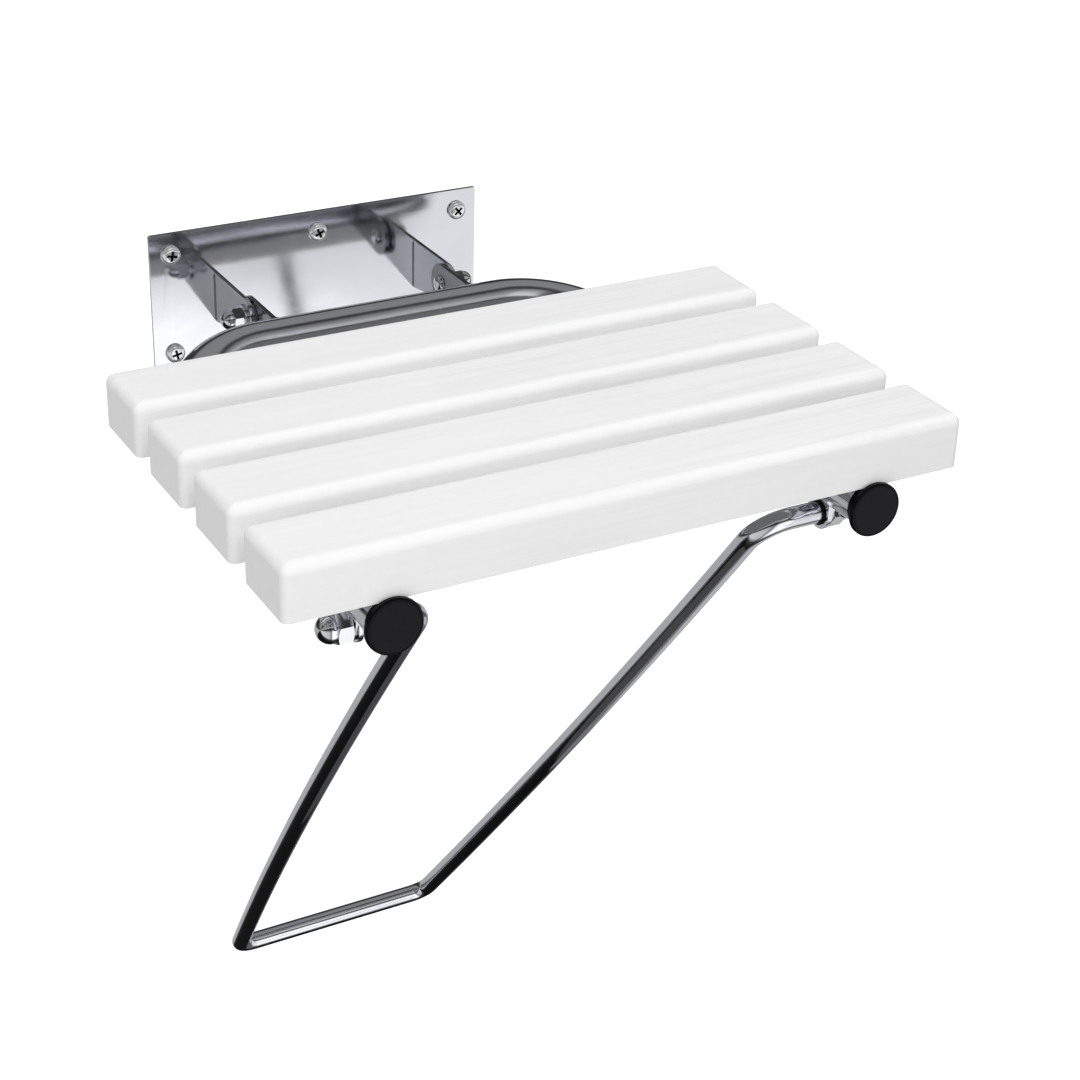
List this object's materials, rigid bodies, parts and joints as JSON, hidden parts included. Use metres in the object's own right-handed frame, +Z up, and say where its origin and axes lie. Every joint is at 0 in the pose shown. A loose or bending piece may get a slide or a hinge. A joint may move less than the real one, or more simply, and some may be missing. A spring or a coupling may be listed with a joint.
{
  "type": "fold down wall seat",
  "caption": "Fold down wall seat: white slats on a bent polished tube frame, hinged to a wall plate and propped by a slanting rod leg that folds with it.",
  "frame": {"origin": "centre of the wall plate's back face, which lies on the wall; the middle of the pattern of wall screws", "axes": "+X to the right along the slats seen from the front, +Y into the wall, +Z up; the seat stands out to -Y"},
  "size_m": [0.4, 0.455, 0.5646],
  "materials": {
    "polished_steel": "polished stainless, near mirror",
    "screw_steel": "bright stainless hardware",
    "slat_plastic": "satin white moulding with a faint lengthwise grain",
    "cap_plastic": "black, fine moulded texture",
    "bearing_plastic": "natural white nylon"
  },
  "bodies": {
    "wall_bracket": {"wall_plate": "polished_steel", "wall_lug_left": "polished_steel", "wall_lug_right": "polished_steel", "wall_screws": "screw_steel", "hinge_bolts": "screw_steel", "hinge_washers": "screw_steel", "hinge_acorn_nuts": "screw_steel"},
    "seat": {"hinge_bush_left": "bearing_plastic", "hinge_bush_right": "bearing_plastic", "frame_tube": "polished_steel", "frame_tab_left": "polished_steel", "frame_tab_right": "polished_steel", "leg_tab_left": "polished_steel", "leg_tab_right": "polished_steel", "end_cap_left": "cap_plastic", "end_cap_right": "cap_plastic", "slat_1": "slat_plastic", "slat_2": "slat_plastic", "slat_3": "slat_plastic", "slat_4": "slat_plastic", "slat_screws": "screw_steel"},
    "leg": {"support_leg": "polished_steel", "leg_washers": "cap_plastic", "leg_stop_washer_left": "screw_steel", "leg_stop_washer_right": "screw_steel", "leg_acorn_nuts": "screw_steel"}
  },
  "joints": [
    {"name": "seat_fold", "type": "hinge", "parent": "wall_bracket", "child": "seat", "pos_m": [0, -0.05, 0.004], "axis": [-1, 0, 0], "range_deg": [0, 92.5]},
    {"name": "leg_swing", "type": "hinge", "parent": "seat", "child": "leg", "pos_m": [0, -0.3705, -0.0301], "axis": [1, 0, 0], "range_deg": [0, 55.2]}
  ],
  "couplings": [
    {"joint": "leg_swing", "follows": "seat_fold", "ratio": 0.596}
  ]
}
